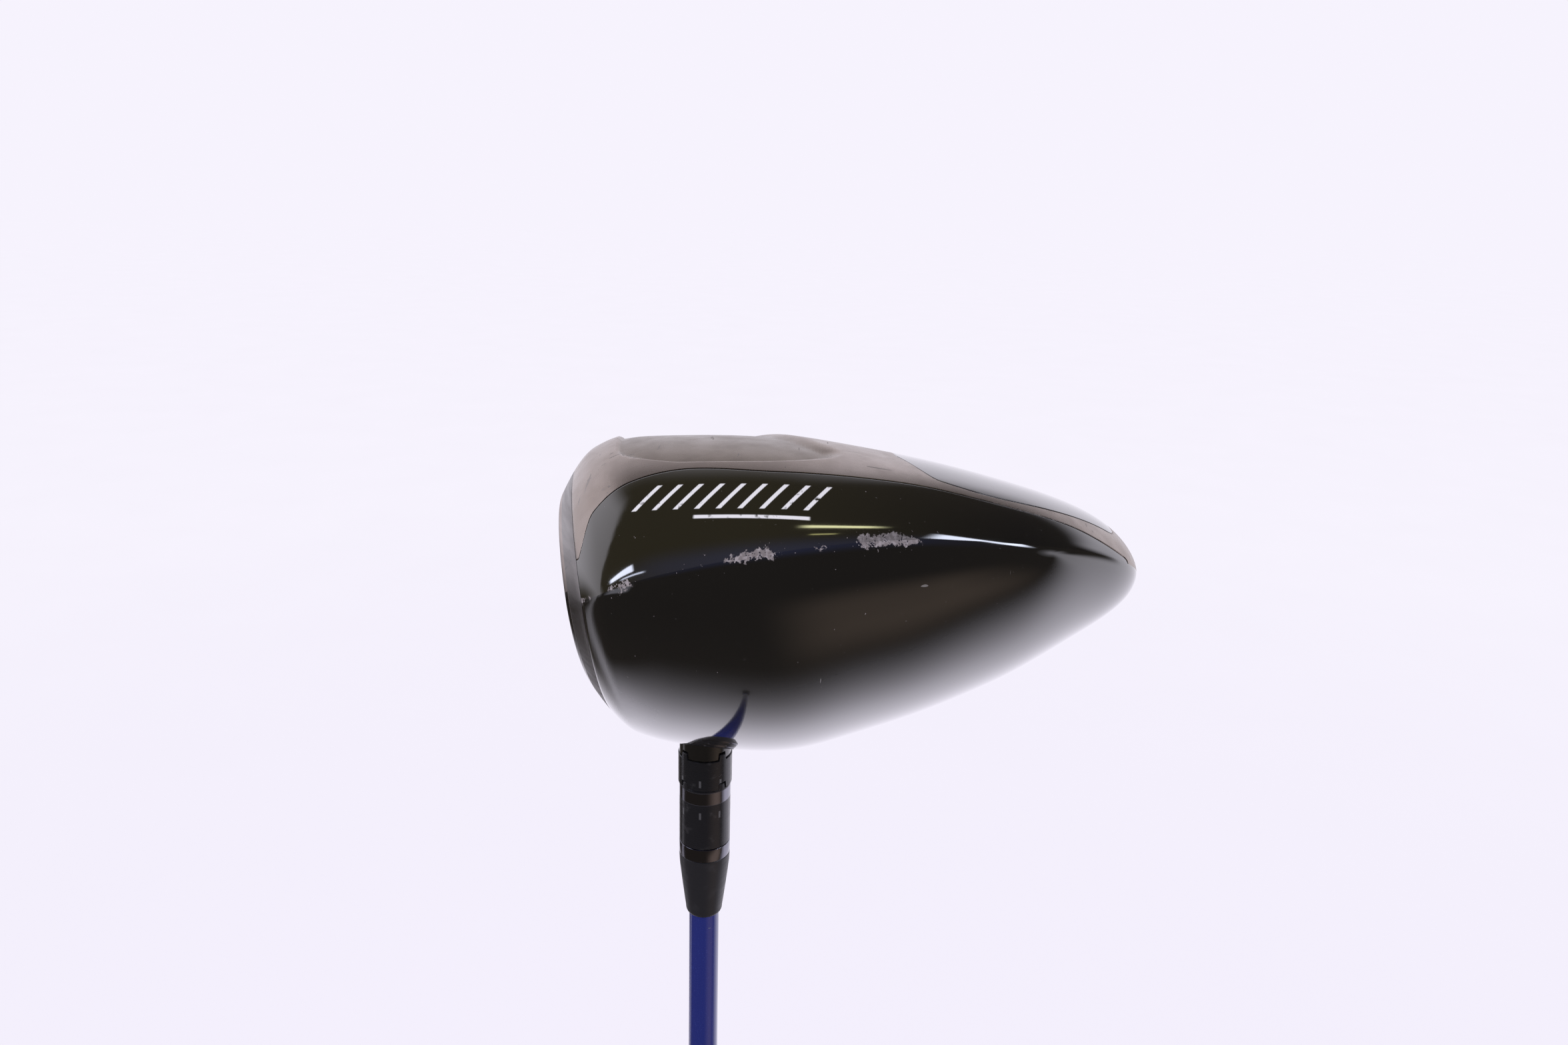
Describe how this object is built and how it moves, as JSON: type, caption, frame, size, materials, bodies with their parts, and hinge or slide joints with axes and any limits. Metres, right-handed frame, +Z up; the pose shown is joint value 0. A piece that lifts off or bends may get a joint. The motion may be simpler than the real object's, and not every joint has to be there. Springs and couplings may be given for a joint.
{
  "type": "golf driver",
  "caption": "Right-handed golf driver: hollow metal head, adjustable keyed hosel sleeve, tapered graphite shaft and rubber grip, stood on its grip with the sole up.",
  "frame": {"origin": "centre of the flat face of the grip's butt cap", "axes": "+Z up the shaft's axis from the grip to the head; +X from the face to the back of the head; -Y side is the toe"},
  "size_m": [0.12, 0.1173, 1.1735],
  "materials": {
    "casting": "satin bronze-grey",
    "crown": "mirror gloss black",
    "toe_panel": "gloss black with an olive tint",
    "sole_panel": "gloss grey-black",
    "face": "satin dark grey with fine score lines",
    "sleeve": "gloss black anodised",
    "band": "satin blue-grey anodised",
    "ferrule": "satin black",
    "shaft": "gloss blue lacquer over graphite",
    "steel": "turned steel",
    "rubber": "matte black",
    "grip": "matte black moulded rubber",
    "tape": "paper tape"
  },
  "bodies": {
    "shaft_assembly": {"shaft": "shaft", "grip": "grip", "grip_cap": "grip", "grip_tape": "tape", "tip_plug": "rubber", "shaft_sleeve": "sleeve", "trim_band": "band", "ferrule": "ferrule"},
    "head": {"head_body": "casting", "crown_shell": "crown", "face_plate": "face", "toe_panel": "toe_panel", "sole_rear_panel": "sole_panel", "hosel_tube": "casting", "weight_seat": "casting", "brace_bar_toe": "steel", "brace_bar_heel": "steel", "hosel_screw_washer": "steel", "screw_retainer": "rubber"},
    "setting_ring": {"adjusting_ring": "sleeve"},
    "hosel_screw": {"hosel_screw": "steel"},
    "weight_gasket": {"weight_gasket": "rubber"},
    "weight_screw": {"weight_screw": "steel"}
  },
  "joints": [
    {"name": "head_release", "type": "slide", "parent": "shaft_assembly", "child": "head", "axis": [0, 0, 1], "range_m": [0, 0.05]},
    {"name": "ring_release", "type": "slide", "parent": "shaft_assembly", "child": "setting_ring", "axis": [0, 0, 1], "range_m": [0, 0.025]},
    {"name": "hosel_screw_turn", "type": "hinge", "parent": "head", "child": "hosel_screw", "pos_m": [0, 0, 1.115], "axis": [0, 0, 1], "continuous": true},
    {"name": "weight_release", "type": "slide", "parent": "head", "child": "weight_gasket", "axis": [0.199, 0.512, 0.8356], "range_m": [0, 0.012]},
    {"name": "weight_turn", "type": "hinge", "parent": "weight_gasket", "child": "weight_screw", "pos_m": [0.06989, -0.03609, 1.15492], "axis": [0.199, 0.512, 0.8356], "continuous": true}
  ],
  "couplings": [
    {"joint": "ring_release", "follows": "head_release", "ratio": 0.5}
  ]
}
